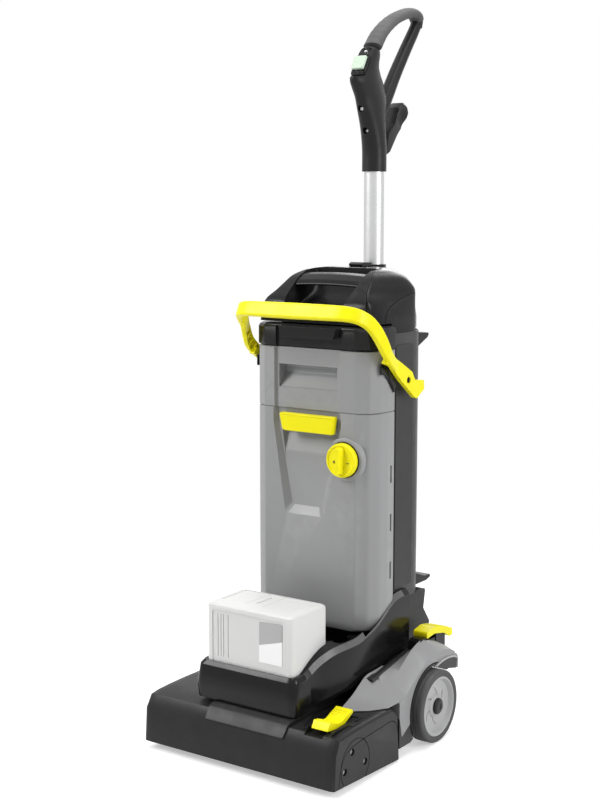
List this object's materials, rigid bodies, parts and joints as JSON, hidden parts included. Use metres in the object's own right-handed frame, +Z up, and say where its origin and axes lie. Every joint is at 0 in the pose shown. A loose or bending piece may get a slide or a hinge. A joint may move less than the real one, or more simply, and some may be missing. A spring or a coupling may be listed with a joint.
{
  "type": "floor scrubber machine",
  "caption": "Compact upright floor scrubber with a roller brush head, rear wheels, front battery, two stacked tanks, a yellow carrying bail and a telescopic handle.",
  "frame": {"origin": "on the floor, below the middle of the bounding box", "axes": "+Z up; the front of the machine looks along -Y; +X is the side with the rocker and the pedal"},
  "size_m": [0.3692, 0.5066, 1.1349],
  "materials": {
    "charcoal_plastic": "fine moulded texture, charcoal",
    "black_plastic": "satin black moulded plastic",
    "grey_plastic": "satin mid grey moulded plastic",
    "pale_plastic": "satin off-white moulded plastic",
    "yellow_plastic": "satin yellow moulded plastic",
    "soft_rubber": "matt dark rubber",
    "tyre_rubber": "matt dark grey tread rubber",
    "steel": "turned and drawn steel",
    "aluminium_tube": "brushed and anodised aluminium",
    "bristle": "dense nylon tufts on a core",
    "hose": "flexible dark hose",
    "circuit_board": "lacquered green board"
  },
  "bodies": {
    "base": {"head_housing": "charcoal_plastic", "end_cover_left": "charcoal_plastic", "end_cover_right": "charcoal_plastic", "channel_cover": "charcoal_plastic", "water_bar": "hose", "brush_motor": "steel", "drive_belt": "soft_rubber", "chassis": "charcoal_plastic", "motor_cover": "charcoal_plastic", "axle": "steel", "water_pump": "black_plastic", "side_cover_left": "grey_plastic", "side_cover_right": "grey_plastic", "arch_liner_left": "charcoal_plastic", "arch_liner_right": "charcoal_plastic"},
    "wheel_left": {"tyre_left": "tyre_rubber", "rim_left": "grey_plastic", "hub_cap_left": "charcoal_plastic"},
    "wheel_right": {"tyre_right": "tyre_rubber", "rim_right": "grey_plastic", "hub_cap_right": "charcoal_plastic"},
    "roller": {"brush_roller": "bristle", "roller_pulley": "steel"},
    "rotor": {"motor_pulley": "steel"},
    "front_bar": {"front_squeegee_holder": "charcoal_plastic", "front_squeegee_blade": "soft_rubber"},
    "rear_bar": {"rear_squeegee_holder": "charcoal_plastic", "rear_squeegee_blade": "soft_rubber"},
    "rocker": {"lift_rocker": "yellow_plastic"},
    "pedal": {"release_pedal": "yellow_plastic"},
    "upright": {"cradle_frame": "black_plastic", "pivot_block": "black_plastic", "battery_dock": "black_plastic", "column_shell": "charcoal_plastic", "column_panel": "charcoal_plastic", "rear_hook_upper": "charcoal_plastic", "rear_hook_lower": "charcoal_plastic", "hood": "black_plastic", "tube_collar": "charcoal_plastic", "suction_turbine": "steel", "suction_hose": "hose", "control_board": "circuit_board"},
    "battery": {"battery_pack": "pale_plastic"},
    "tank_set": {"lower_tank": "grey_plastic", "upper_tank": "grey_plastic", "tank_plug": "soft_rubber", "tank_lid": "charcoal_plastic", "float_valve": "pale_plastic", "bail_clip_left": "charcoal_plastic", "bail_clip_right": "charcoal_plastic"},
    "tank_tab": {"release_tab": "yellow_plastic"},
    "knob": {"dosing_knob": "yellow_plastic"},
    "bail": {"bail_handle": "yellow_plastic"},
    "handle": {"handle_tube": "aluminium_tube", "handle_shell_front": "charcoal_plastic", "handle_shell_rear": "charcoal_plastic", "grip_sleeve": "soft_rubber", "switch_base": "black_plastic"},
    "latch": {"tube_latch": "black_plastic"},
    "switch": {"switch_rocker": "pale_plastic"}
  },
  "joints": [
    {"name": "wheel_left_spin", "type": "hinge", "parent": "base", "child": "wheel_left", "pos_m": [-0.17, 0.02475, 0.0565], "axis": [1, 0, 0], "continuous": true},
    {"name": "wheel_right_spin", "type": "hinge", "parent": "base", "child": "wheel_right", "pos_m": [0.17, 0.02475, 0.0565], "axis": [1, 0, 0], "continuous": true},
    {"name": "roller_spin", "type": "hinge", "parent": "base", "child": "roller", "pos_m": [0, -0.16725, 0.034], "axis": [1, 0, 0], "continuous": true},
    {"name": "rotor_spin", "type": "hinge", "parent": "base", "child": "rotor", "pos_m": [-0.1, -0.05025, 0.034], "axis": [1, 0, 0], "continuous": true},
    {"name": "rocker_tilt", "type": "hinge", "parent": "base", "child": "rocker", "pos_m": [0.136, -0.20025, 0.089], "axis": [1, 0, 0], "range_deg": [0, 8]},
    {"name": "front_bar_lift", "type": "slide", "parent": "base", "child": "front_bar", "axis": [0, 0, 1], "range_m": [0, 0.006]},
    {"name": "rear_bar_lift", "type": "slide", "parent": "base", "child": "rear_bar", "axis": [0, 0, 1], "range_m": [0, 0.006]},
    {"name": "pedal_press", "type": "hinge", "parent": "base", "child": "pedal", "pos_m": [0.138, 0.04975, 0.155], "axis": [1, 0, 0], "range_deg": [-8, 0], "stiffness_Nm_per_rad": 0.6, "springref_deg": 6.88},
    {"name": "upright_tilt", "type": "hinge", "parent": "base", "child": "upright", "pos_m": [0, 0.02475, 0.0565], "axis": [1, 0, 0], "range_deg": [-50, 0]},
    {"name": "battery_lift", "type": "slide", "parent": "upright", "child": "battery", "axis": [0, 0, 1], "range_m": [0, 0.12]},
    {"name": "tank_tip", "type": "hinge", "parent": "upright", "child": "tank_set", "pos_m": [0, -0.04125, 0.178], "axis": [1, 0, 0], "range_deg": [0, 14]},
    {"name": "tab_press", "type": "slide", "parent": "tank_set", "child": "tank_tab", "axis": [0, 1, 0], "range_m": [0, 0.003], "stiffness_N_per_m": 900, "springref_m": -0.002},
    {"name": "knob_turn", "type": "hinge", "parent": "tank_set", "child": "knob", "pos_m": [0.066, -0.06325, 0.443], "axis": [0, 1, 0], "range_deg": [-90, 90]},
    {"name": "bail_swing", "type": "hinge", "parent": "tank_set", "child": "bail", "pos_m": [0, 0.02375, 0.558], "axis": [1, 0, 0], "range_deg": [-12, 75]},
    {"name": "handle_slide", "type": "slide", "parent": "upright", "child": "handle", "axis": [0, 0, 1], "range_m": [-0.13, 0]},
    {"name": "latch_flip", "type": "hinge", "parent": "upright", "child": "latch", "pos_m": [0, 0.09175, 0.7268], "axis": [1, 0, 0], "range_deg": [-40, 0]},
    {"name": "switch_rock", "type": "hinge", "parent": "handle", "child": "switch", "pos_m": [0, 0.07345, 1.0367], "axis": [1, 0, 0], "range_deg": [-4, 4]}
  ],
  "couplings": [
    {"joint": "rotor_spin", "follows": "roller_spin", "ratio": 1.968},
    {"joint": "rocker_tilt", "follows": "front_bar_lift", "rad_per_m": 23.27},
    {"joint": "rear_bar_lift", "follows": "front_bar_lift", "ratio": 1}
  ]
}
